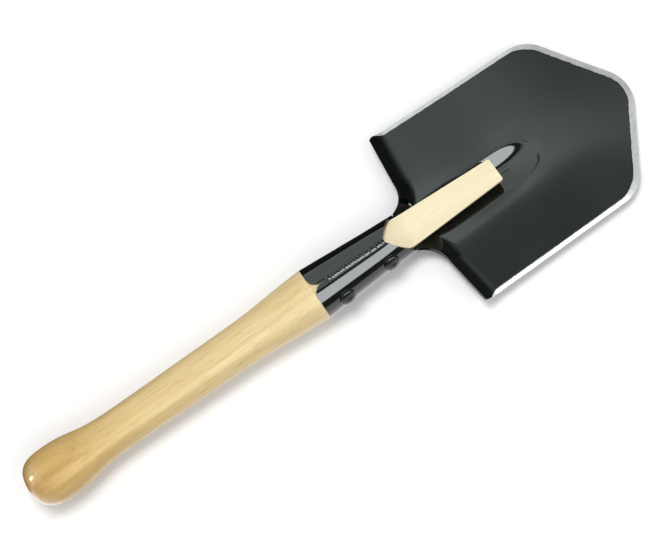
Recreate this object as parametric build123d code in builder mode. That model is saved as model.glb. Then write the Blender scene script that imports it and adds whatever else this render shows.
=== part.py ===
from build123d import *
from math import cos, hypot, radians, sin, sqrt, tan
import os

# Short camp shovel with a pressed-steel head on a one-piece hardwood handle, lying on its back.
# +X runs from the knob to the blade's tip, +Z out of the blade's hollow face, +Y to the left.
# The origin is on the resting plane, under the middle of the shovel's length.
# Stations are distances along the handle's axis from its butt end.  Heights are from that axis.

LENGTH = 508.0  # overall, 20 inches
SHEET = 2.0  # thickness of the pressed steel

# Handle
KNOB_RADIUS = 20.1
KNOB_STATION = 27.0
WAIST_RADIUS = 14.9
WAIST_STATION = 88.0
SWELL_RADIUS = 16.2
SWELL_STATION = 188.0
SHOULDER_RADIUS = 19.7
SHOULDER_STATION = 239.3
BUTT_DOME = 1.6  # how far the butt's face bulges
BUTT_FACE_RADIUS = 11.0

# Socket and neck
NECK_STATION = 316.0  # where the rolled socket has opened into the blade
NECK_RADIUS = 12.5  # inside the sheet
SOCKET_RADIUS = SHOULDER_RADIUS - SHEET  # inside the sheet, at the shoulder
SOCKET_CLEARANCE = 0.05
SEAM_GAP = 0.8
SEAM_CORNER = 7.5  # rounding of the flap corners at the handle end
VEE_STATION = 298.7  # point of the vee cut at the blade end of the seam

# Tongue of the handle, lying in the trough
TONGUE_STATION = 393.4
TONGUE_HALF_WIDTH = 9.0
TONGUE_FLAT = 0.8  # height of the flat front
TONGUE_DEPTH = 16.7
SCOOP_END = 321.0  # where the cut down from the vee meets the flat

# Blade
TROUGH_STATION = 400.0  # deepest point of the trough
TROUGH_END = 425.0
TROUGH_DEPTH = 17.5
TROUGH_RADIUS = 17.5
TROUGH_RUNOUT = 5.0  # height of the trough's floor at its end, above its deepest point
HALF_WIDTH = 72.0
REAR_STATION = 330.4  # rear edge beside the neck
CORNER_STATION = 334.6  # rear corners
FRONT_HALF_WIDTH = 69.6  # where the sides would meet the front edges
FRONT_ANGLE = 56.6  # front edges, from the handle's axis
DISH_DEPTH = 14.4  # blade's centre line below the handle's axis, if it had no rounding
DISH_LIFT = 2.2  # how much shallower the dish is at the rear
DISH_SLOPE = 0.135  # rise of the two nearly flat halves towards the sides
DISH_FLATTENING = 0.35  # share of that rise lost at the tip
DISH_ROUND = 36.0  # size of the rounding between the two halves
NECK_RIM = 13.5  # half-width of the neck's opening
NECK_FILLET = 21.0
LIP_HEIGHT = 3.2  # rear edge above the dish
LIP_FALL = 0.55  # fall of the rear edge from the neck
LIP_WIDTH = 12.0
LIP_SOFTNESS = 6.0
CREASE_SOFTNESS = 8.5  # rounding between the trough and the dish
TIP_RADIUS = 27.0
FRONT_CORNER_RADIUS = 27.0
REAR_CORNER_RADIUS = 2.5
FILLET_ACROSS = NECK_RIM + NECK_FILLET
FILLET_START = REAR_STATION - NECK_FILLET

# Screws
SCREW_STATIONS = {"socket_screw_rear": 257.0, "socket_screw_front": 295.5}
SCREW_ANGLE = 65.0  # round the socket from the seam, towards -Y
SCREW_HEAD_RADIUS = 6.2
SCREW_HEAD_HEIGHT = 2.4
SCREW_SHANK_RADIUS = 2.1
SCREW_LENGTH = 14.0
SCREW_POINT = 3.0
SCREW_CLEARANCE = 0.05
RECESS_WIDTH = 1.1
RECESS_SPAN = 5.2
RECESS_DEPTH = 1.5

butt = Vector(-LENGTH / 2, 0, KNOB_RADIUS)
side = Plane(origin=butt, x_dir=(1, 0, 0), z_dir=(0, -1, 0))  # local x = station, local y = height
plan = Plane(origin=butt, x_dir=(1, 0, 0), z_dir=(0, 0, 1))  # local x = station, local y = across
axis = Axis(butt, (1, 0, 0))


def smooth_step(value, start, end):
    """0 before start, 1 after end, with level ends."""
    t = min(max((value - start) / (end - start), 0), 1)
    return t * t * (3 - 2 * t)


def lower(a, b, softness):
    """The lower of two heights, with the crease between them rounded."""
    near = max(softness - abs(a - b), 0) / softness
    return min(a, b) - near**2 * softness / 4


def edge_distance(station, across):
    """Distance in front of the blade's rear edge, which curls into the neck."""
    if across < FILLET_ACROSS:
        return hypot(station - FILLET_START, across - FILLET_ACROSS) - NECK_FILLET
    slope = (CORNER_STATION - REAR_STATION) / (HALF_WIDTH - FILLET_ACROSS)
    return station - REAR_STATION - slope * (across - FILLET_ACROSS)


def pipe_height(radius, across):
    """Height of a round trough's wall above its bottom."""
    t = (across / radius) ** 2
    return radius * t * (1 / 2 + t * (1 / 8 + t * (1 / 16 + t * (5 / 128 + t * 7 / 256))))


def front_height(station, across):
    """Height of the sheet's front surface: two nearly flat halves, a raised rear lip and the trough."""
    y = min(abs(across), 1.12 * HALF_WIDTH)
    slope = DISH_SLOPE * (1 - DISH_FLATTENING * smooth_step(station, 430, LENGTH))
    dish = slope * (hypot(y, DISH_ROUND) - DISH_ROUND) - DISH_DEPTH
    dish += DISH_LIFT * (1 - smooth_step(station, 325, 410))
    rear_line = -LIP_FALL * max(y - NECK_RADIUS, 0)
    lip_top = -lower(-dish - LIP_HEIGHT, -rear_line, LIP_SOFTNESS)
    curl = max(1 - max(edge_distance(station, y), 0) / LIP_WIDTH, 0)
    lipped = dish + (lip_top - dish) * curl**2
    opening = smooth_step(station, NECK_STATION, 342)
    radius = NECK_RADIUS + (TROUGH_RADIUS - NECK_RADIUS) * opening
    run = (station - NECK_STATION) / (TROUGH_STATION - NECK_STATION)
    bottom = -NECK_RADIUS - (TROUGH_DEPTH - NECK_RADIUS) * lower(max(run, 0), 1, 0.3)
    rise = max(station - TROUGH_STATION, 0) ** 2 / (TROUGH_END - TROUGH_STATION) ** 2
    trough = bottom + TROUGH_RUNOUT * rise + pipe_height(radius, min(y, 1.5 * radius))
    softness = CREASE_SOFTNESS * smooth_step(station, NECK_STATION - 4, 346)
    return lower(lipped, trough, softness + 0.4)


def sheet_face(depth):
    """The sheet's front surface, lowered by depth measured square to the sheet."""
    rows = []
    step = 0.05
    for i in range(42):
        station = NECK_STATION + 5 * (i - 1)
        row = []
        for j in range(-40, 41):
            across = 2 * j
            height = front_height(station, across)
            along_slope = (front_height(station + step, across) - height) / step
            across_slope = (front_height(station, across + step) - height) / step
            drop = depth * sqrt(1 + along_slope**2 + across_slope**2)
            row.append(plan.from_local_coords(Vector(station, across, height - drop)))
        rows.append(row)
    return Face.make_surface_from_array_of_points(rows, tol=0.02)


def screw_plane(station):
    """Plane square to the socket's tapered wall, with +Z outwards, on the outside of the sheet."""
    taper = (SOCKET_RADIUS - NECK_RADIUS) / (NECK_STATION - SHOULDER_STATION)
    wall = SHOULDER_RADIUS - taper * (station - SHOULDER_STATION)
    turn = radians(SCREW_ANGLE)
    radial = Vector(0, -sin(turn), cos(turn))
    seat = butt + Vector(station, 0, 0) + radial * wall
    along = Vector(1, 0, 0)
    return Plane(origin=seat, x_dir=along - radial * taper, z_dir=radial + along * taper)


# Head: the blade from one sheet, and the socket rolled from the same sheet
underside = sheet_face(SHEET)
front_surface = sheet_face(0)
with BuildPart() as blade_head:
    extrude(underside, amount=60, dir=(0, 0, 1))
    extrude(front_surface, amount=80, dir=(0, 0, 1), mode=Mode.SUBTRACT)
    with BuildSketch(plan.offset(-40)) as outline:
        with BuildLine():
            point = LENGTH + TIP_RADIUS * (1 / sin(radians(FRONT_ANGLE)) - 1)
            side_end = point - FRONT_HALF_WIDTH / tan(radians(FRONT_ANGLE))
            neck_across = FILLET_ACROSS - sqrt(NECK_FILLET**2 - (NECK_STATION - FILLET_START) ** 2)
            neck_edge = Polyline((NECK_STATION, 0), (NECK_STATION, neck_across))
            middle = radians(50)
            fillet_station = FILLET_START + NECK_FILLET * sin(middle)
            fillet_mid = (fillet_station, FILLET_ACROSS - NECK_FILLET * cos(middle))
            rear_fillet = ThreePointArc(neck_edge @ 1, fillet_mid, (REAR_STATION, FILLET_ACROSS))
            Polyline(
                rear_fillet @ 1,
                (CORNER_STATION, HALF_WIDTH),
                (side_end, FRONT_HALF_WIDTH),
                (point, 0),
            )
            mirror(about=Plane.XZ)
        make_face()
        tip = outline.vertices().sort_by(Axis.X)[-1]
        fillet(tip, radius=TIP_RADIUS)
        corners = outline.vertices().filter_by(lambda v: abs(abs(v.Y) - FRONT_HALF_WIDTH) < 0.01)
        fillet(corners, radius=FRONT_CORNER_RADIUS)
        ears = outline.vertices().filter_by(lambda v: abs(abs(v.Y) - HALF_WIDTH) < 0.01)
        fillet(ears, radius=REAR_CORNER_RADIUS)
    extrude(amount=80, mode=Mode.INTERSECT)
    with BuildSketch(side):
        with BuildLine():
            Polyline(
                (SHOULDER_STATION, SOCKET_RADIUS),
                (SHOULDER_STATION, SHOULDER_RADIUS),
                (NECK_STATION, NECK_RADIUS + SHEET),
                (NECK_STATION, NECK_RADIUS),
                close=True,
            )
        make_face()
    revolve(axis=axis)
    with BuildSketch(plan) as seam:
        with Locations(((SHOULDER_STATION + NECK_STATION) / 2, 0)):
            Rectangle(NECK_STATION - SHOULDER_STATION, SEAM_GAP)
        with Locations((SHOULDER_STATION + SEAM_CORNER / 2, 0)):
            Rectangle(SEAM_CORNER, SEAM_GAP + 2 * SEAM_CORNER)
        for turn in (-1, 1):
            with Locations((SHOULDER_STATION + SEAM_CORNER, turn * (SEAM_GAP / 2 + SEAM_CORNER))):
                Circle(SEAM_CORNER, mode=Mode.SUBTRACT)
        with BuildLine():
            vee_half_width = NECK_RADIUS + SHEET + 0.5
            Polyline(
                (VEE_STATION, 0),
                (NECK_STATION, vee_half_width),
                (NECK_STATION, -vee_half_width),
                close=True,
            )
        make_face()
    extrude(amount=SHOULDER_RADIUS + 1, mode=Mode.SUBTRACT)
    for station in SCREW_STATIONS.values():
        with Locations(screw_plane(station)):
            Cylinder(SCREW_SHANK_RADIUS + SCREW_CLEARANCE, 4 * SHEET, mode=Mode.SUBTRACT)
blade_head.part.label = "blade_head"
export_step(blade_head.part, "parts/blade_head.step")

# Handle: knob, waist, swelling grip, shoulder, taper in the socket, and tongue with its flat front
with BuildPart() as handle:
    with BuildSketch(side):
        with BuildLine():
            face_mid = (BUTT_DOME / 4, BUTT_FACE_RADIUS / 2)
            face_arc = ThreePointArc((0, 0), face_mid, (BUTT_DOME, BUTT_FACE_RADIUS))
            knob = Spline(
                face_arc @ 1,
                (9, 18.2),
                (KNOB_STATION, KNOB_RADIUS),
                tangents=((0.5, 1), (1, 0)),
            )
            grip = Spline(
                knob @ 1,
                (46, 17.4),
                (62, 15.3),
                (WAIST_STATION, WAIST_RADIUS),
                (SWELL_STATION, SWELL_RADIUS),
                (212, 18.0),
                (SHOULDER_STATION, SHOULDER_RADIUS),
                tangents=((1, 0), (1, 0.02)),
            )
            Polyline(
                grip @ 1,
                (SHOULDER_STATION, SOCKET_RADIUS - SOCKET_CLEARANCE),
                (NECK_STATION, NECK_RADIUS - SOCKET_CLEARANCE),
                (NECK_STATION, 0),
                (0, 0),
            )
        make_face()
    revolve(axis=axis)
    tongue_root = Plane(origin=butt + Vector(NECK_STATION, 0, 0), x_dir=(0, 1, 0), z_dir=(1, 0, 0))
    with BuildSketch(tongue_root):
        Circle(NECK_RADIUS - SOCKET_CLEARANCE)
    with BuildSketch(tongue_root.offset(TONGUE_STATION - NECK_STATION)):
        Ellipse(TONGUE_HALF_WIDTH, TONGUE_DEPTH)
    loft()
    with BuildSketch(side):
        with BuildLine():
            scoop = Spline(
                (VEE_STATION - 1, NECK_RADIUS + 1.4),
                (VEE_STATION + 8, NECK_RADIUS - 3.4),
                (SCOOP_END, TONGUE_FLAT),
                tangents=((1, -0.3), (1, 0)),
            )
            Polyline(
                scoop @ 1,
                (TONGUE_STATION + 1, TONGUE_FLAT),
                (TONGUE_STATION + 1, SHOULDER_RADIUS),
                (VEE_STATION - 1, SHOULDER_RADIUS),
                scoop @ 0,
            )
        make_face()
    extrude(amount=SHOULDER_RADIUS, both=True, mode=Mode.SUBTRACT)
    for station in SCREW_STATIONS.values():
        with Locations(screw_plane(station).offset(-SCREW_LENGTH / 2)):
            Cylinder(SCREW_SHANK_RADIUS + SCREW_CLEARANCE, SCREW_LENGTH + 0.5, mode=Mode.SUBTRACT)
handle.part.label = "handle"
export_step(handle.part, "parts/handle.step")

# Screws: domed head with a cross recess, and a plain shank
for name, station in SCREW_STATIONS.items():
    seat = screw_plane(station)
    profile_plane = Plane(origin=seat.origin, x_dir=seat.x_dir, z_dir=seat.x_dir.cross(seat.z_dir))
    with BuildPart() as screw:
        with BuildSketch(profile_plane):
            with BuildLine():
                rim = SCREW_HEAD_HEIGHT / 3
                Polyline(
                    (0, SCREW_HEAD_HEIGHT),
                    (0, -SCREW_LENGTH),
                    (SCREW_SHANK_RADIUS, -SCREW_LENGTH + SCREW_POINT),
                    (SCREW_SHANK_RADIUS, 0),
                    (SCREW_HEAD_RADIUS, 0),
                    (SCREW_HEAD_RADIUS, rim),
                )
                ThreePointArc(
                    (SCREW_HEAD_RADIUS, rim),
                    (SCREW_HEAD_RADIUS * 0.62, SCREW_HEAD_HEIGHT * 0.83),
                    (0, SCREW_HEAD_HEIGHT),
                )
            make_face()
        revolve(axis=Axis(seat.origin, seat.z_dir))
        with BuildSketch(seat.offset(SCREW_HEAD_HEIGHT - RECESS_DEPTH)):
            Rectangle(RECESS_SPAN, RECESS_WIDTH)
            Rectangle(RECESS_WIDTH, RECESS_SPAN)
        extrude(amount=2 * RECESS_DEPTH, mode=Mode.SUBTRACT)
    screw.part.label = name
    export_step(screw.part, f"parts/{name}.step")
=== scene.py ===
from math import asin, atan2, cos, pi, radians, sin, sqrt, tan

import bmesh
import bpy
import numpy as np
from mathutils import Matrix, Vector


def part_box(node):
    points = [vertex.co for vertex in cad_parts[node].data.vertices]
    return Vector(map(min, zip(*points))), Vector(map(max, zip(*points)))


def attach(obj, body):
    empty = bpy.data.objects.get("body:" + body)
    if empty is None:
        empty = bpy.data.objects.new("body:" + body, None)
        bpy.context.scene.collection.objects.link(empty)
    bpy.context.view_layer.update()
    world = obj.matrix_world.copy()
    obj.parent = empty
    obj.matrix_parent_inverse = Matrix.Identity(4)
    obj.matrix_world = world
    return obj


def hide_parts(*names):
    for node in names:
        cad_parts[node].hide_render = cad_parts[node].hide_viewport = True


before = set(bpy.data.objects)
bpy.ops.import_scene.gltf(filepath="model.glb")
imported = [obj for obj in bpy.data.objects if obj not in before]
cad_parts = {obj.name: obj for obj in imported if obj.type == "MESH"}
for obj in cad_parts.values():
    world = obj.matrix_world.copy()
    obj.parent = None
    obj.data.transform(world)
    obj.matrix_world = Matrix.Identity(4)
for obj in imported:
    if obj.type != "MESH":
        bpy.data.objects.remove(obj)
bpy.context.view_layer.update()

# Camp shovel lying on its back.  Shapes are worked out in millimetres as (station, across, height):
# station runs along the handle's axis from the butt, across to the left, height up from that axis.
MM = 0.001
handle_low, handle_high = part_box("handle")
head_low, head_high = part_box("blade_head")
BUTT = Vector((handle_low.x, 0, (handle_low.z + handle_high.z) / 2))

LENGTH = (head_high.x - BUTT.x) / MM
SHOULDER = (head_low.x - BUTT.x) / MM
TONGUE_END = (handle_high.x - BUTT.x) / MM
HALF_WIDTH = head_high.y / MM
SHEET = 2.0

# Socket and neck, inside the sheet
SHOULDER_RADIUS = 19.7
SOCKET_RADIUS = SHOULDER_RADIUS - SHEET
NECK = 316.0
NECK_RADIUS = 12.5
NECK_RIM = 13.5
SEAM_GAP = 0.7
SEAM_CORNER = 7.5
VEE = 298.7
SOCKET_SLOPE = (SOCKET_RADIUS - NECK_RADIUS) / (NECK - SHOULDER)
VEE_LEAD = 10.0

# Where the socket's round section turns into the trough's
OPENING = 300.0
OPEN_RADIUS = 330.0
OPEN_BOTTOM = 335.0
OPEN_TROUGH = 342.0

# Blade
TROUGH_DEEPEST = 400.0
TROUGH_END = 425.0
TROUGH_DEPTH = 17.9
TROUGH_RADIUS = 17.2
TROUGH_WIDENING = 3.0
TROUGH_NARROWS = 338.0
TROUGH_CURVE = 1.7
TROUGH_END_RISE = 5.0
REAR = 330.4
CORNER = 334.6
FRONT_HALF_WIDTH = 69.6
FRONT_ANGLE = radians(56.6)
DISH_DEPTH = 14.4
DISH_RISE = 2.2
DISH_SLOPE = 0.135
DISH_ROUND = 36.0
DISH_LEVELS = 430.0
DISH_LEVELLING = 0.35
DISH_RISE_FADES = (325.0, 410.0)
NECK_FILLET = 21.0
LIP_HEIGHT = 3.2
LIP_FALL = 0.55
LIP_WIDTH = 12.0
SHOULDER_RISE = 0.6
SHOULDER_PLACE = 12.5
SHOULDER_WIDTH = 6.0
SHOULDER_SHIFT = 1.5
SHOULDER_FADES = (370.0, 430.0)
SHARP_CREASE = 0.4
CREASE = 4.0
CREASE_OPENS = (NECK - 4, 346.0)
LIP_BLEND = 6.0
TIP_RADIUS = 27.0
FRONT_CORNER_RADIUS = 27.0
EAR_RADIUS = 2.5
SIDE_GROUND = 3.4
FRONT_GROUND = 4.8
GROUND_DROP = 1.2
GROUND_STARTS = (CORNER + 2, CORNER + 11)

# Tongue
TONGUE_HALF_WIDTH = 9.0
TONGUE_DEPTH = 16.9
TONGUE_FLAT = 0.8
TONGUE_CORNER = 1.3
SCOOP_END = 321.0
WOOD_CLEARANCE = 0.1
SCOOP_CLEARANCE = 0.6

# Screws
SCREW_HEAD_RADIUS = 6.2
SCREW_HEAD_HEIGHT = 2.4
SCREW_TURN = radians(65)
DOME_FALL = 1.35
DOME_REACH = 0.93
RECESS_REACH = 2.7
RECESS_HALF_WIDTH = 0.62
RECESS_DEPTH = 1.5
HEAD_SIDE = [(0.965, 0.92), (0.99, 0.78), (1.0, 0.55), (1.0, 0.1), (0.985, -0.9)]

# Weld along the seam
WELD_HALF_WIDTH = 2.25
WELD_HEIGHT = 0.60
WELD_RIPPLE = 0.30
WELD_PITCH = 2.3
WELD_LAG = 0.28
WELD_SUNK = 0.06


def at(point):
    """A (station, across, height) point in millimetres, as a place in the frame."""
    return BUTT + MM * Vector(point)


def step(value, start, end):
    """0 before start, 1 after end, with level ends."""
    t = np.clip((value - start) / (end - start), 0, 1)
    return t * t * (3 - 2 * t)


def lower(a, b, softness):
    """The lower of two heights, with the crease between them rounded."""
    near = np.maximum(softness - np.abs(a - b), 0) / softness
    return np.minimum(a, b) - near**2 * softness / 4


# ---------------------------------------------------------------- shape of the pressed sheet

FILLET_ACROSS = NECK_RIM + NECK_FILLET


def socket_taper(station):
    """Inside radius of the rolled socket."""
    return SOCKET_RADIUS - SOCKET_SLOPE * (station - SHOULDER)


def trough_taper(station):
    """How much wider the trough is behind its deepest point."""
    return 1 - step(station, TROUGH_NARROWS, TROUGH_DEEPEST)


def pipe_radius(station):
    """Inside radius of the socket, then of the trough."""
    wide = TROUGH_RADIUS + TROUGH_WIDENING * trough_taper(station)
    opened = NECK_RADIUS + (wide - NECK_RADIUS) * step(station, NECK, OPEN_TROUGH)
    return socket_taper(station) + (opened - socket_taper(station)) * step(station, OPENING, OPEN_RADIUS)


def pipe_bottom(station):
    """Height of the socket's back wall, then of the trough's floor."""
    run = np.clip((station - NECK) / (TROUGH_DEEPEST - NECK), 0, 1)
    trough = -NECK_RADIUS - (TROUGH_DEPTH - NECK_RADIUS) * (1 - (1 - run) ** TROUGH_CURVE)
    return -socket_taper(station) + (trough + socket_taper(station)) * step(station, OPENING, OPEN_BOTTOM)


def pipe_wall(radius, across):
    """Height of the trough's wall above its bottom: a circle's, but never upright."""
    t = (across / radius) ** 2
    return radius * t * (1 / 2 + t * (1 / 8 + t * (1 / 16 + t * (5 / 128 + t * 7 / 256))))


def edge_distance(station, across):
    """Distance in front of the blade's rear edge, which curls into the neck."""
    slope = (CORNER - REAR) / (HALF_WIDTH - FILLET_ACROSS)
    straight = station - REAR - slope * (across - FILLET_ACROSS)
    curled = np.hypot(station - REAR + NECK_FILLET, across - FILLET_ACROSS) - NECK_FILLET
    return np.where(across < FILLET_ACROSS, curled, straight)


def sheet_height(station, across):
    """Height of the blade's front surface: two nearly flat halves, a curled rear edge and the trough."""
    y = np.abs(across)
    slope = DISH_SLOPE * (1 - DISH_LEVELLING * step(station, DISH_LEVELS, LENGTH))
    dish = slope * (np.sqrt(y**2 + DISH_ROUND**2) - DISH_ROUND) - DISH_DEPTH
    dish = dish + DISH_RISE * (1 - step(station, *DISH_RISE_FADES))
    shoulder = SHOULDER_RISE * (1 - step(station, *SHOULDER_FADES))
    from_shoulder = y - SHOULDER_PLACE - SHOULDER_SHIFT * trough_taper(station)
    dish = dish + shoulder * np.exp(-((from_shoulder / SHOULDER_WIDTH) ** 2))
    neck_line = -LIP_FALL * np.maximum(y - NECK_RADIUS, 0)
    lip_top = -lower(-dish - LIP_HEIGHT, -neck_line, LIP_BLEND)
    curl = np.clip(1 - np.maximum(edge_distance(station, y), 0) / LIP_WIDTH, 0, 1)
    lipped = dish + (lip_top - dish) * curl**2
    rise = np.maximum(station - TROUGH_DEEPEST, 0) ** 2 / (TROUGH_END - TROUGH_DEEPEST) ** 2
    trough = pipe_bottom(station) + TROUGH_END_RISE * rise + pipe_wall(pipe_radius(station), y)
    return lower(lipped, trough, SHARP_CREASE + CREASE * step(station, *CREASE_OPENS))


def sheet_normal(station, across):
    """Unit normals of the blade's front surface."""
    d = 0.02
    along = (sheet_height(station + d, across) - sheet_height(station - d, across)) / (2 * d)
    sideways = (sheet_height(station, across + d) - sheet_height(station, across - d)) / (2 * d)
    normal = np.stack([-along, -sideways, np.ones_like(along)], axis=-1)
    return normal / np.linalg.norm(normal, axis=-1, keepdims=True)


def tube_point(station, angle):
    """A point inside the rolled socket; angle 0 is at its back, pi at the seam."""
    radius, bottom = pipe_radius(station), pipe_bottom(station)
    low = np.minimum(angle, pi / 2)
    rim_across = NECK_RIM * np.sin(low)
    end_radius, end_bottom = pipe_radius(NECK), pipe_bottom(NECK)
    flare_across = rim_across - end_radius * np.sin(low)
    neck_height = sheet_height(NECK + 0 * station, rim_across)
    flare_height = neck_height - end_bottom - end_radius * (1 - np.cos(low))
    flare = step(station, VEE - VEE_LEAD, NECK) * np.where(angle > pi / 2, np.sin(angle) ** 2, 1)
    across = radius * np.sin(angle) + flare * flare_across
    height = bottom + radius * (1 - np.cos(angle)) + flare * flare_height
    return np.stack([station + 0 * angle, across, height], axis=-1)


def tube_normal(station, angle):
    """Unit normals inside the rolled socket, towards its axis."""
    d = 0.02
    along = tube_point(station + d, angle) - tube_point(station - d, angle)
    round_it = tube_point(station, angle + d / 10) - tube_point(station, angle - d / 10)
    normal = np.cross(along, round_it)
    return normal / np.linalg.norm(normal, axis=-1, keepdims=True)


def seam_angle(station):
    """Angle of the flap's free edge: square corners rounded at the handle end, a vee at the blade end."""
    radius = socket_taper(station)
    into = np.clip(SEAM_CORNER - (station - SHOULDER), 0, SEAM_CORNER)
    gap = SEAM_GAP / 2 + SEAM_CORNER - np.sqrt(SEAM_CORNER**2 - into**2)
    run = np.clip((station - VEE) / (NECK - VEE), 0, 1)
    return pi - gap / radius - (pi / 2 - SEAM_GAP / 2 / radius) * (0.9 * run**0.92 + 0.1 * run**6)


# ---------------------------------------------------------------- outline of the blade


def arc(centre, radius, start, end, count):
    """Points and outward normals along an arc, angles in radians."""
    angle = np.linspace(start, end, count)
    normal = np.stack([np.cos(angle), np.sin(angle)], axis=-1)
    return np.array(centre) + radius * normal, normal


def resample(points, normals, count, crowding=1.0):
    """Evenly spaced points along a polyline, crowded towards its start."""
    lengths = np.concatenate([[0], np.cumsum(np.linalg.norm(np.diff(points, axis=0), axis=1))])
    wanted = lengths[-1] * np.linspace(0, 1, count) ** crowding
    spread = [np.interp(wanted, lengths, column) for column in np.hstack([points, normals]).T]
    return np.stack(spread[:2], axis=-1), np.stack(spread[2:], axis=-1)


CORNER_POINTS = 30


def blade_outline():
    """The left half of the blade's edge: rear with its neck fillet, side, and front from the tip."""
    point = LENGTH + TIP_RADIUS * (1 / sin(FRONT_ANGLE) - 1)
    side_end = point - FRONT_HALF_WIDTH / tan(FRONT_ANGLE)
    front_way = np.array([-cos(FRONT_ANGLE), sin(FRONT_ANGLE)])
    front_out = np.array([sin(FRONT_ANGLE), cos(FRONT_ANGLE)])
    side_way = np.array([side_end - CORNER, FRONT_HALF_WIDTH - HALF_WIDTH])
    side_way = side_way / np.linalg.norm(side_way)
    side_out = np.array([-side_way[1], side_way[0]])
    rear_way = np.array([CORNER - REAR, HALF_WIDTH - FILLET_ACROSS])
    rear_way = rear_way / np.linalg.norm(rear_way)
    rear_out = np.array([-rear_way[1], rear_way[0]])

    def corner(vertex, radius, out_a, out_b):
        """Centre of the rounding at a corner, and the angles where it starts, halves and ends."""
        middle = out_a + out_b
        middle = middle / np.linalg.norm(middle)
        centre = np.array(vertex) - middle * radius / (middle @ out_a)
        first, last = (atan2(out[1], out[0]) for out in (out_a, out_b))
        return centre, first, (first + last) / 2, last

    ear = corner((CORNER, HALF_WIDTH), EAR_RADIUS, rear_out, side_out)
    front = corner((side_end, FRONT_HALF_WIDTH), FRONT_CORNER_RADIUS, side_out, front_out)
    tip_centre = (LENGTH - TIP_RADIUS, 0)
    start = asin((NECK - REAR + NECK_FILLET) / NECK_FILLET)
    fillet, outward = arc((REAR - NECK_FILLET, FILLET_ACROSS), NECK_FILLET, start - pi / 2, 0, 40)
    parts = {
        "rear": [(fillet, -outward), arc(ear[0], EAR_RADIUS, ear[1], ear[2], 8)],
        "side": [
            arc(ear[0], EAR_RADIUS, ear[2], ear[3], 8),
            arc(front[0], FRONT_CORNER_RADIUS, front[1], front[2], CORNER_POINTS),
        ],
        "front": [
            arc(tip_centre, TIP_RADIUS, 0, atan2(front_out[1], front_out[0]), 40),
            arc(front[0], FRONT_CORNER_RADIUS, front[3], front[2], CORNER_POINTS),
        ],
    }
    return {
        name: tuple(np.concatenate(column) for column in zip(*pieces))
        for name, pieces in parts.items()
    }


# ---------------------------------------------------------------- meshes


class Mesh:
    """Vertices and faces gathered from grids, with a value for each vertex."""

    def __init__(self):
        self.points, self.values, self.faces = [], [], []

    def add(self, points, value=0.0):
        """Adds an array of points and returns their numbers in the same arrangement."""
        points = np.asarray(points, float)
        flat = points.reshape(-1, 3)
        first = len(self.points)
        self.points.extend(map(tuple, flat))
        self.values.extend(np.broadcast_to(value, points.shape[:-1]).ravel())
        return first + np.arange(len(flat)).reshape(points.shape[:-1])

    def skin(self, grid):
        """Quads over a grid of vertex numbers."""
        for a, b in zip(grid[:-1], grid[1:]):
            self.faces.extend(zip(a[:-1], a[1:], b[1:], b[:-1]))

    def build(self, name, mirror=False, sharp=None):
        """The object, smooth, in the frame, with its value layer called ground."""
        bm = bmesh.new()
        layer = bm.verts.layers.float.new("ground")
        for side in (1, -1) if mirror else (1,):
            verts = []
            for (x, y, z), value in zip(self.points, self.values):
                vert = bm.verts.new(at((x, side * y, z)))
                vert[layer] = value
                verts.append(vert)
            for face in self.faces:
                corners = list(dict.fromkeys(int(i) for i in face))
                if len(corners) > 2:
                    bm.faces.new([verts[i] for i in corners])
        bmesh.ops.remove_doubles(bm, verts=bm.verts, dist=0.004 * MM)
        bmesh.ops.dissolve_degenerate(bm, edges=bm.edges, dist=0.002 * MM)
        bmesh.ops.recalc_face_normals(bm, faces=bm.faces)
        for face in bm.faces:
            face.smooth = True
        for edge in bm.edges:
            if sharp and len(edge.link_faces) == 2 and edge.calc_face_angle() > sharp:
                edge.smooth = False
        mesh = bpy.data.meshes.new(name)
        bm.to_mesh(mesh)
        bm.free()
        made = bpy.data.objects.new(name, mesh)
        bpy.context.collection.objects.link(made)
        return made


def round_edges(piece, width, segments=3, angle=45):
    bevel = piece.modifiers.new("rounded_edges", "BEVEL")
    bevel.width = width * MM
    bevel.segments = segments
    bevel.limit_method = "ANGLE"
    bevel.angle_limit = radians(angle)
    return piece


PIPE_CELLS = 44
LIP_CELLS = 66
BLADE_ROWS = 130
TUBE_ROWS = 90
ROW_CROWDING = 1.25
FRONT_CROWDING = 1.35


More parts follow.
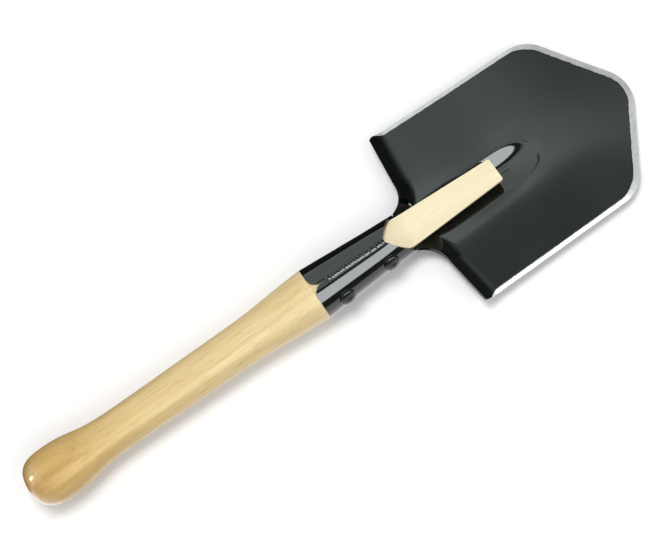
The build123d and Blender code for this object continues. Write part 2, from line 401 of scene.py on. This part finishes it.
def head_piece():
    """Blade, lip, trough and rolled socket: one sheet with a front skin, a back skin and a rim."""
    mesh = Mesh()
    outline = blade_outline()
    angles = np.linspace(0, pi / 2, PIPE_CELLS + 1)
    pipe_row = np.stack([np.full(PIPE_CELLS + 1, NECK), NECK_RIM * np.sin(angles)], axis=-1)
    rear, _ = resample(*outline["rear"], LIP_CELLS + 1)
    rear[0] = pipe_row[-1]
    side, side_out = resample(*outline["side"], BLADE_ROWS + 1, crowding=ROW_CROWDING)
    cells = PIPE_CELLS + LIP_CELLS
    front, front_out = resample(*outline["front"], cells + 1, crowding=FRONT_CROWDING)
    side_end = outline["side"][0][-CORNER_POINTS, 0]
    side_width = SIDE_GROUND * step(side[:, 0], *GROUND_STARTS)
    side_width = side_width + (FRONT_GROUND - SIDE_GROUND) * step(side[:, 0], side_end, side[-1, 0])
    side_inner = side - side_out * side_width[:, None]
    front_inner = front - front_out * FRONT_GROUND
    front_inner[:, 1] = np.maximum(front_inner[:, 1], 0)
    rear_row = np.concatenate([pipe_row, rear[1:]])
    rear_row[-1] = side_inner[0]
    front_inner[-1] = side_inner[-1]
    middle_x = NECK + (front_inner[0, 0] - NECK) * np.linspace(0, 1, BLADE_ROWS + 1) ** ROW_CROWDING
    middle = np.stack([middle_x, np.zeros(BLADE_ROWS + 1)], axis=-1)

    s = np.linspace(0, 1, BLADE_ROWS + 1)[:, None, None] ** ROW_CROWDING
    t = np.linspace(0, 1, cells + 1)[None, :, None]
    across_mix = (1 - t) * middle[:, None] + t * side_inner[:, None]
    along_mix = (1 - s) * rear_row[None] + s * front_inner[None]
    corners = (
        (1 - s) * (1 - t) * rear_row[0]
        + (1 - s) * t * rear_row[-1]
        + s * (1 - t) * front_inner[0]
        + s * t * front_inner[-1]
    )
    plan = across_mix + along_mix - corners
    height = sheet_height(plan[..., 0], plan[..., 1])
    blade_front = np.concatenate([plan, height[..., None]], axis=-1)
    blade_back = blade_front - SHEET * sheet_normal(plan[..., 0], plan[..., 1])
    blade_back[:, -1, :2] = blade_front[:, -1, :2]

    edge = np.concatenate([side, front[-2::-1]])
    width = np.concatenate([side_width, np.full(cells, FRONT_GROUND)])
    edge_top = np.concatenate([edge, sheet_height(edge[:, 0], edge[:, 1])[:, None]], axis=-1)
    edge_bottom = edge_top - SHEET * sheet_normal(edge[:, 0], edge[:, 1])
    edge_bottom[:, :2] = edge_top[:, :2]
    bare = np.clip(width / SIDE_GROUND, 0, 1)
    edge_top[:, 2] -= GROUND_DROP * bare

    stations = SHOULDER + (NECK - SHOULDER) * np.linspace(0, 1, TUBE_ROWS + 1)
    fraction = np.linspace(0, 1, PIPE_CELLS + 1)[None, :]
    turn = seam_angle(stations)[:, None] * fraction
    stations = stations[:, None] + 0 * turn
    tube_front = tube_point(stations, turn)
    tube_back = tube_front - SHEET * tube_normal(stations, turn)
    tube_front[-1] = blade_front[0, : PIPE_CELLS + 1]
    tube_back[-1] = blade_back[0, : PIPE_CELLS + 1]

    front_grid, back_grid = mesh.add(blade_front), mesh.add(blade_back)
    tube_in, tube_out = mesh.add(tube_front), mesh.add(tube_back)
    inner_line = np.concatenate([front_grid[:, -1], front_grid[-1, -2::-1]])
    inner_back = np.concatenate([back_grid[:, -1], back_grid[-1, -2::-1]])
    top_line, bottom_line = mesh.add(edge_top, bare), mesh.add(edge_bottom, bare)
    for grid in (front_grid, back_grid, tube_in, tube_out):
        mesh.skin(grid)
    mesh.skin([inner_line, top_line, bottom_line, inner_back])
    mesh.skin([front_grid[0, PIPE_CELLS:], back_grid[0, PIPE_CELLS:]])
    mesh.skin([tube_in[0], tube_out[0]])
    mesh.skin([tube_in[:, -1], tube_out[:, -1]])
    piece = mesh.build("head_sheet", mirror=True, sharp=radians(14))
    return round_edges(piece, 0.35, segments=2, angle=50)


def spline(points, count):
    """A smooth curve through points: a natural cubic spline over their chord lengths."""
    points = np.array(points, float)
    knots = np.concatenate([[0], np.cumsum(np.linalg.norm(np.diff(points, axis=0), axis=1) ** 0.7)])
    gap = np.diff(knots)
    size = len(points)
    system = np.eye(size)
    right = np.zeros_like(points)
    for i in range(1, size - 1):
        system[i, i - 1 : i + 2] = gap[i - 1], 2 * (gap[i - 1] + gap[i]), gap[i]
        right[i] = 6 * ((points[i + 1] - points[i]) / gap[i] - (points[i] - points[i - 1]) / gap[i - 1])
    bend = np.linalg.solve(system, right)
    where = np.linspace(0, knots[-1], count)
    i = np.clip(np.searchsorted(knots, where) - 1, 0, size - 2)
    a, b, h = (knots[i + 1] - where)[:, None], (where - knots[i])[:, None], gap[i][:, None]
    line = a * points[i] / h + b * points[i + 1] / h
    return line + ((a**3 / h - a * h) * bend[i] + (b**3 / h - b * h) * bend[i + 1]) / 6


def handle_piece():
    """Knob, waist, swelling grip and shoulder turned round, then the taper and the flat-faced tongue."""
    mesh = Mesh()
    profile = spline(
        [
            (0, 0), (0.5, 6), (2, 11.6), (5.4, 16.2), (11, 19.0), (18, 20.0), (27, 20.05), (36, 19.3), (46, 17.5),
            (55, 15.95), (66, 15.1), (88, 14.9), (112, 15.1), (150, 15.6), (188, 16.2), (212, 17.9),
            (228, 19.1), (SHOULDER, SHOULDER_RADIUS),
        ],
        150,
    )
    profile[0, 1] = 0
    turn = np.linspace(0, 2 * pi, 129)
    rings = [np.stack([x + 0 * turn, r * np.sin(turn), -r * np.cos(turn)], axis=-1) for x, r in profile]
    tip_turn = np.linspace(0, pi / 2, 8)
    tip = TONGUE_END - TONGUE_CORNER * (1 - np.sin(tip_turn))
    for x in np.concatenate([np.linspace(SHOULDER, tip[0], 90), tip[1:]]):
        if x < NECK:
            wide = deep = socket_taper(x) - WOOD_CLEARANCE
        else:
            run = (x - NECK) / (TONGUE_END - NECK)
            wide = NECK_RADIUS - WOOD_CLEARANCE + (TONGUE_HALF_WIDTH - NECK_RADIUS) * run
            deep = NECK_RADIUS - WOOD_CLEARANCE + (TONGUE_DEPTH - NECK_RADIUS) * run
            cut_in = max(x - tip[0], 0)
            wide -= TONGUE_CORNER - sqrt(max(TONGUE_CORNER**2 - cut_in**2, 0))
        scooped = NECK_RADIUS - SCOOP_CLEARANCE - TONGUE_FLAT
        scoop = TONGUE_FLAT + scooped * (1 - step(x, VEE - 4, SCOOP_END))
        cut = scoop if x > VEE - 2 else 3 * SHOULDER_RADIUS
        height = lower(-deep * np.cos(turn), cut, 0.25)
        rings.append(np.stack([x + 0 * turn, wide * np.sin(turn), height], axis=-1))
    grid = mesh.add(rings)
    mesh.skin(grid)
    centre = mesh.add(np.array([[TONGUE_END, 0, -TONGUE_DEPTH / 3]] * len(turn)))
    mesh.skin([grid[-1], centre])
    piece = mesh.build("handle_wood", sharp=radians(50))
    return round_edges(piece, 0.6, segments=3, angle=50)


def screw_piece(name, node):
    """A pan head with a cross recess, high on the side of the socket, over the CAD screw's place."""
    low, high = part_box(node)
    middle = (low + high) / 2
    station = (middle.x - BUTT.x) / MM
    radial = Vector((0, -sin(SCREW_TURN), cos(SCREW_TURN)))
    up = (radial + Vector((SOCKET_SLOPE, 0, 0))).normalized()
    along = (Vector((1, 0, 0)) - radial * SOCKET_SLOPE).normalized()
    seat = Vector((station, 0, 0)) + radial * (socket_taper(station) + SHEET)
    rings = []
    turns = np.linspace(0, 2 * pi, 97)
    dome_rings = 40
    side_reach, side_heights = zip(*HEAD_SIDE)
    radii = np.concatenate([np.linspace(0, DOME_REACH, dome_rings), side_reach]) * SCREW_HEAD_RADIUS
    for i, r in enumerate(radii):
        x, y = r * np.cos(turns), r * np.sin(turns)
        if i < dome_rings:
            dome = SCREW_HEAD_HEIGHT - DOME_FALL * (r / SCREW_HEAD_RADIUS) ** 2.4
            arm_along = np.maximum(np.abs(x) / RECESS_REACH, np.abs(y) / RECESS_HALF_WIDTH)
            arm_across = np.maximum(np.abs(y) / RECESS_REACH, np.abs(x) / RECESS_HALF_WIDTH)
            inside = 1 - step(np.minimum(arm_along, arm_across), 0.8, 1.08)
            z = dome - RECESS_DEPTH * (1 - 0.45 * r / RECESS_REACH) * inside
        else:
            z = side_heights[i - dome_rings] + 0 * turns
        places = zip(x, y, z)
        rings.append([tuple(seat + along * a + up.cross(along) * b + up * c) for a, b, c in places])
    mesh = Mesh()
    mesh.skin(mesh.add(rings))
    return mesh.build(name, sharp=radians(60))


def radius_point(radius, angle):
    """Across and height of a point at an angle from the seam, on a circle round the axis."""
    return radius * np.sin(angle), radius * np.cos(angle)


def weld_piece():
    """Rippled weld that closes the seam between the socket's two flaps."""
    mesh = Mesh()
    rng = np.random.default_rng(7)
    stations = np.linspace(SHOULDER + SEAM_CORNER + 4, VEE + 0.6, 190)
    run = (stations - stations[0]) / (stations[-1] - stations[0])
    wander = np.interp(run, np.linspace(0, 1, 24), rng.normal(0, 1, 24))
    swell = np.interp(run, np.linspace(0, 1, 30), rng.normal(0, 1, 30))
    ends = np.minimum(1, np.minimum(run, 1 - run) * 25) ** 0.5
    ripple = 0.5 + 0.5 * np.cos(2 * pi * stations / WELD_PITCH + 0.9 * wander)
    width = (WELD_HALF_WIDTH + 0.2 * swell) * ends + 0.02
    height = (WELD_HEIGHT + WELD_RIPPLE * ripple + 0.12 * swell) * ends
    rows = []
    t = np.linspace(-1, 1, 25)
    for x, w, h, lean in zip(stations, width, height, 0.16 * wander):
        lag = x + WELD_LAG * (1 - t**2)
        radius = socket_taper(lag) + SHEET
        rise = h * (1 - t**2) ** 0.8 * (1 + 0.25 * t)
        angle = (w * t + lean) / radius
        rows.append(np.stack([lag, *radius_point(radius + rise - WELD_SUNK, angle)], axis=-1))
    mesh.skin(mesh.add(rows))
    return mesh.build("seam_weld")


# ---------------------------------------------------------------- materials


class Nodes:
    """Short way to wire a node tree."""

    def __init__(self, tree):
        self.tree = tree

    def new(self, kind, inputs=None, **settings):
        node = self.tree.nodes.new(kind)
        for key, value in settings.items():
            setattr(node, key, value)
        for key, value in (inputs or {}).items():
            self.plug(value, node.inputs[key])
        return node

    def plug(self, value, socket):
        if isinstance(value, bpy.types.NodeSocket):
            self.tree.links.new(value, socket)
        else:
            socket.default_value = value

    def ramp(self, value, *stops):
        """Maps a value through colour stops of (position, colour)."""
        node = self.new("ShaderNodeValToRGB", {"Fac": value})
        elements = node.color_ramp.elements
        while len(elements) < len(stops):
            elements.new(0.5)
        for element, (position, colour) in zip(elements, stops):
            element.position = position
            element.color = (*colour, 1)
        return node.outputs["Color"]

    def maths(self, operation, a, b=0.0):
        return self.new("ShaderNodeMath", {0: a, 1: b}, operation=operation).outputs[0]

    def mix(self, factor, a, b, blend="MIX"):
        sockets = {0: factor, 6: a, 7: b}
        return self.new("ShaderNodeMix", sockets, data_type="RGBA", blend_type=blend).outputs[2]


class Surface(Nodes):
    """A material, wired through its principled shader."""

    def __init__(self, name):
        self.material = bpy.data.materials.new(name)
        self.material.use_nodes = True
        super().__init__(self.material.node_tree)
        self.shader = self.tree.nodes["Principled BSDF"]

    def place(self):
        return self.new("ShaderNodeTexCoord").outputs["Object"]

    def noise(self, scale, stretch=(1, 1, 1), detail=4.0, rough=0.5, distort=0.0):
        """Noise over object coordinates, stretched."""
        where = self.new("ShaderNodeMapping", {"Vector": self.place(), "Scale": stretch}).outputs[0]
        inputs = {"Vector": where, "Scale": scale, "Detail": detail, "Roughness": rough, "Distortion": distort}
        return self.new("ShaderNodeTexNoise", inputs).outputs["Fac"]

    def span(self, value, low, high, to_low=0.0, to_high=1.0):
        inputs = {"Value": value, "From Min": low, "From Max": high, "To Min": to_low, "To Max": to_high}
        return self.new("ShaderNodeMapRange", inputs).outputs["Result"]

    def bump(self, height, strength, distance, normal=None):
        inputs = {"Height": height, "Strength": strength, "Distance": distance}
        if normal is not None:
            inputs["Normal"] = normal
        return self.new("ShaderNodeBump", inputs).outputs["Normal"]

    def finish(self, **inputs):
        for key, value in inputs.items():
            self.plug(value, self.shader.inputs[key.replace("_", " ")])
        return self.material


def enamel_and_steel():
    """Gloss black enamel, worn through to ground steel where the mesh's ground value is high."""
    n = Surface("gloss_enamel_bare_edge")
    ground = n.new("ShaderNodeAttribute", attribute_name="ground").outputs["Fac"]
    ragged = n.noise(260, detail=3.0)
    fine = n.noise(900, detail=2.0)
    shifted = n.maths("ADD", ground, n.span(ragged, 0.3, 0.7, -0.05, 0.05))
    shifted = n.maths("ADD", shifted, n.span(fine, 0.3, 0.7, -0.02, 0.02))
    bare = n.span(shifted, 0.08, 0.14)
    smudge = n.noise(28, detail=5.0, rough=0.6)
    dust = n.noise(1400, detail=2.0)
    steel_tone = n.noise(320, detail=6.0, rough=0.7)
    steel = n.ramp(
        steel_tone,
        (0.3, (0.36, 0.36, 0.355)),
        (0.5, (0.42, 0.42, 0.415)),
        (0.75, (0.50, 0.50, 0.495)),
    )
    black = n.ramp(smudge, (0.3, (0.0012, 0.0014, 0.0014)), (0.7, (0.002, 0.0022, 0.0022)))
    colour = n.mix(bare, black, steel)
    gloss = n.maths("ADD", n.span(smudge, 0.3, 0.75, 0.035, 0.085), n.span(dust, 0.62, 0.75, 0.0, 0.08))
    roughness = n.mix(bare, gloss, n.span(steel_tone, 0.3, 0.7, 0.33, 0.45))
    peel = n.noise(420, detail=2.0)
    normal = n.bump(peel, 0.02, 0.0004)
    normal = n.bump(n.maths("MULTIPLY", steel_tone, bare), 0.25, 0.0003, normal)
    metallic = n.maths("MULTIPLY", bare, 0.35)
    return n.finish(Base_Color=colour, Metallic=metallic, Roughness=roughness, Normal=normal, IOR=1.5)


def black_screw():
    """Black enamel on the screws, rougher than the blade's."""
    n = Surface("black_screw_enamel")
    mottle = n.noise(700, detail=4.0)
    colour = n.ramp(mottle, (0.35, (0.003, 0.003, 0.0035)), (0.7, (0.008, 0.008, 0.0085)))
    roughness = n.span(mottle, 0.3, 0.7, 0.08, 0.2)
    normal = n.bump(mottle, 0.12, 0.0002)
    return n.finish(Base_Color=colour, Roughness=roughness, Normal=normal, IOR=1.5, Specular_IOR_Level=0.3)


def varnished_wood():
    """Pale straight-grained hardwood: long streaks, short pores, golden towards the knob."""
    n = Surface("varnished_hardwood")
    streaks = n.noise(55, stretch=(0.05, 1, 1), detail=6.0, rough=0.62, distort=0.3)
    bands = n.noise(150, stretch=(0.02, 1, 1), detail=4.0, rough=0.6)
    fibres = n.noise(620, stretch=(0.03, 1, 1), detail=4.0, rough=0.65)
    pores = n.noise(1000, stretch=(0.05, 1, 1), detail=2.0, rough=0.5)
    broad = n.noise(9, stretch=(0.4, 1, 1), detail=2.0)
    base = n.ramp(
        streaks,
        (0.25, (0.49, 0.345, 0.150)),
        (0.45, (0.585, 0.455, 0.215)),
        (0.6, (0.66, 0.545, 0.280)),
        (0.8, (0.72, 0.610, 0.350)),
    )
    base = n.mix(n.span(bands, 0.50, 0.66, 0.0, 0.62), base, (0.52, 0.370, 0.165, 1))
    base = n.mix(n.span(fibres, 0.40, 0.70, 0.0, 0.45), base, (0.55, 0.400, 0.190, 1))
    base = n.mix(n.span(pores, 0.60, 0.72, 0.0, 0.62), base, (0.33, 0.215, 0.085, 1))
    base = n.mix(n.span(broad, 0.35, 0.65, 0.0, 0.25), base, (0.60, 0.43, 0.210, 1))
    coords = n.new("ShaderNodeSeparateXYZ", {"Vector": n.place()})
    x = coords.outputs["X"]
    along = n.span(x, at((26, 0, 0)).x, at((195, 0, 0)).x)
    warmth = n.ramp(along, (0.0, (0.74, 0.60, 0.41)), (0.4, (0.93, 0.88, 0.83)), (1.0, (0.99, 1.0, 1.06)))
    base = n.mix(1.0, base, warmth, "MULTIPLY")
    raw = n.span(x, at((SHOULDER - 6, 0, 0)).x, at((SHOULDER + 20, 0, 0)).x, 0.0, 0.5)
    base = n.mix(raw, base, (0.80, 0.76, 0.60, 1))
    butt = n.span(x, at((9, 0, 0)).x, at((0, 0, 0)).x)
    base = n.mix(butt, base, (0.52, 0.27, 0.085, 1))
    polish = n.span(x, at((18, 0, 0)).x, at((10, 0, 0)).x, 0.08, 1.0)
    roughness = n.maths("ADD", n.span(streaks, 0.3, 0.7, 0.36, 0.46), n.span(pores, 0.6, 0.8, 0.0, 0.25))
    normal = n.bump(n.span(pores, 0.6, 0.78, 1.0, 0.0), 0.35, 0.00015)
    normal = n.bump(streaks, 0.12, 0.0004, normal)
    return n.finish(
        Base_Color=base, Roughness=roughness, Normal=normal, IOR=1.45,
        Specular_IOR_Level=0.3, Coat_Weight=polish, Coat_Roughness=0.2,
    )


def floor_painted_in_reflections():
    """Pale floor with a painted reflection: mirrored rays see it painted nearly black left of the handle and glowing
    right of it, though it is no lamp.
    """
    n = Surface("floor")
    shade = n.noise(1.5, detail=2.0)
    colour = n.ramp(shade, (0.3, (0.82, 0.82, 0.82)), (0.7, (0.85, 0.85, 0.85)))
    mirrored = n.new("ShaderNodeLightPath").outputs["Is Glossy Ray"]
    coords = n.new("ShaderNodeSeparateXYZ", {"Vector": n.place()})
    far_side = n.span(coords.outputs["Y"], -0.004, 0.004)
    # Painted reflection: to mirrored rays the floor left of the handle is painted nearly black
    painted_dark_reflection = n.maths("MULTIPLY", mirrored, far_side)
    colour = n.mix(painted_dark_reflection, colour, (0.03, 0.03, 0.03, 1))
    # Painted reflection: to mirrored rays the floor right of the handle glows, though it is no lamp
    painted_reflection_glow = n.maths("MULTIPLY", mirrored, n.span(far_side, 0, 1, 0.75, 0.0))
    return n.finish(
        Base_Color=colour, Roughness=0.7, Specular_IOR_Level=0.0,
        Emission_Color=(1, 1, 1, 1), Emission_Strength=painted_reflection_glow,
    )


def dress(piece, material, slot, *nodes):
    """Gives a piece its material and its body, and hides the CAD nodes that it stands for."""
    piece.data.materials.clear()
    piece.data.materials.append(material)
    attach(piece, "root")
    if nodes:
        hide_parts(*nodes)
    return piece


enamel = enamel_and_steel()
screws = black_screw()
dress(head_piece(), enamel, "enamelled_steel", "blade_head")
dress(handle_piece(), varnished_wood(), "hardwood", "handle")
dress(weld_piece(), enamel, "enamelled_steel")
for where in ("front", "rear"):
    node = f"socket_screw_{where}"
    dress(screw_piece(f"pan_screw_{where}", node), screws, "black_screw", node)

# ---------------------------------------------------------------- floor, light and camera

bpy.ops.mesh.primitive_plane_add(size=12, location=(0, 0, 0))
floor = bpy.context.object
floor.name = "floor"
floor.data.materials.append(floor_painted_in_reflections())

# The camera looks down on the shovel's front, turned so that the handle runs up to the right.
ROLL, TILT, TURN = radians(-12.484), radians(1.2715), radians(34.606)
CAMERA_PLACE = Vector((207.6, 149.2, 900.0))
SENSOR_WIDTH = 36
FOCAL_PER_WIDTH = 1297.2 / 660
view = Matrix.Rotation(-ROLL, 3, "X") @ Matrix.Rotation(-TILT, 3, "Y") @ Matrix.Rotation(-TURN, 3, "Z")
camera = bpy.data.objects.new("camera", bpy.data.cameras.new("camera"))
bpy.context.collection.objects.link(camera)
camera.data.sensor_width = SENSOR_WIDTH
camera.data.lens = SENSOR_WIDTH * FOCAL_PER_WIDTH
camera.location = BUTT + MM * (view @ CAMERA_PLACE)
camera.rotation_euler = view.to_euler()
bpy.context.scene.camera = camera


LAMP_DISTANCE = 1.2
LAMP_AIM = Vector((0.05, 0, 0))


def softbox(name, towards, size, power):
    """A square lamp placed by its direction in the camera's view, aimed at the shovel's middle."""
    way = (view @ Vector(towards)).normalized()
    data = bpy.data.lights.new(name, "AREA")
    data.shape = "RECTANGLE"
    data.size = data.size_y = size
    data.energy = power
    lamp = bpy.data.objects.new(name, data)
    bpy.context.collection.objects.link(lamp)
    lamp.location = LAMP_AIM + way * LAMP_DISTANCE
    lamp.rotation_euler = way.to_track_quat("Z", "Y").to_euler()
    return lamp


# Hidden from mirrored rays, which see only the world and the floor
key = softbox("key_overhead", (-0.24, 0.32, 0.9), size=0.4, power=8.5)
key.visible_glossy = False

WORLD_STRENGTH = 10


def studio_reflections():
    """The world: dim and even for diffuse rays but for one brighter panel, and banded for mirrored rays.

    The bands' tones are fitted to one reference view of the gloss paint, so this isn't plain light.
    Bands lie along the handle.  Their angle round it runs from the camera's side (0) towards the
    lower right, and their slant is measured along the handle.
    """
    world = bpy.data.worlds.new("studio")
    bpy.context.scene.world = world
    world.use_nodes = True
    n = Nodes(world.node_tree)
    way = n.new("ShaderNodeTexCoord").outputs["Generated"]

    def along(axis):
        return n.new("ShaderNodeVectorMath", {0: way, 1: axis}, operation="DOT_PRODUCT").outputs["Value"]

    def half_turns(angle):
        return n.maths("ADD", n.maths("DIVIDE", angle, pi), 0.5)

    def ramp(fac, stops):
        """Tones at angles in degrees, tinted slightly green."""
        return n.ramp(
            fac,
            *[(degree / 180 + 0.5, (0.97 * tone, 1.04 * tone, 1.01 * tone)) for degree, tone in stops],
        )

    across_handle = view @ Vector((sin(TURN), -cos(TURN), 0))
    along_handle = view @ Vector((cos(TURN), sin(TURN), 0))
    round_angle = half_turns(n.maths("ARCTAN2", along(across_handle), along(view @ Vector((0, 0, 1)))))
    slant = half_turns(n.maths("ARCSINE", along(along_handle)))
    level = ramp(
        round_angle,
        [(-85, 0.17), (-50, 0.20), (-30, 0.222), (-12, 0.225), (-9, 0.2), (-6, 0.12), (-4, 0.02), (4, 0.02)],
    )
    raised = ramp(
        round_angle,
        [(-85, 0.15), (-45, 0.19), (-36.9, 0.21), (-36, 0.06), (-34.5, 0.06), (-33, 0.075), (-32, 0.10), (-31, 0.15),
         (-30, 0.195), (-28.5, 0.222), (-22, 0.215), (-18, 0.20), (-16.5, 0.175), (-15, 0.15), (-13.5, 0.15),
         (-9, 0.22), (-6, 0.20), (-4, 0.02), (4, 0.02)],
    )
    high = ramp(
        round_angle,
        [(-85, 0.24), (-36.9, 0.20), (-36, 0.08), (-33.5, 0.082), (-32, 0.092), (-31, 0.12), (-30, 0.148),
         (-28, 0.135), (-25, 0.118), (-21, 0.10), (-18.5, 0.092), (-17, 0.108), (-15, 0.125), (-13, 0.15),
         (-9, 0.20), (-6, 0.18), (-4, 0.02), (4, 0.02)],
    )
    ceiling = n.mix(ramp(slant, [(3, 0), (6, 1)]), level, raised)
    ceiling = n.mix(ramp(slant, [(12.5, 0), (16.5, 1)]), ceiling, high)
    fade = ramp(slant, [(-60, 0.5), (-30, 1), (17, 1), (24, 0.5), (30, 0.24), (37, 0.08), (85, 0.05)])
    panel = ramp(round_angle, [(4, 0), (7, 1), (46, 1), (49, 0)])
    ends = ramp(slant, [(-17, 0), (-12, 1), (55, 1), (62, 0)])
    glint = ramp(round_angle, [(-62, 0), (-56, 1), (-48, 1), (-42, 0)])
    glint_ends = ramp(slant, [(-63, 0), (-57, 1), (-49, 1), (-43, 0)])
    dim = n.mix(1.0, ceiling, fade, "MULTIPLY")
    lit = n.mix(1.0, panel, ends, "MULTIPLY")
    spot = n.mix(1.0, glint, glint_ends, "MULTIPLY")
    seen = n.mix(lit, dim, (0.97, 1.03, 1.04, 1))
    seen = n.mix(spot, seen, (3, 3, 3, 1))
    soft = n.mix(lit, (0.06, 0.0605, 0.0612, 1), (0.16, 0.16, 0.16, 1))
    mirrored = n.new("ShaderNodeLightPath").outputs["Is Glossy Ray"]
    background = n.tree.nodes["Background"]
    n.plug(n.mix(mirrored, soft, seen), background.inputs["Color"])
    n.plug(WORLD_STRENGTH, background.inputs["Strength"])


studio_reflections()
bpy.context.scene.view_settings.view_transform = "Standard"
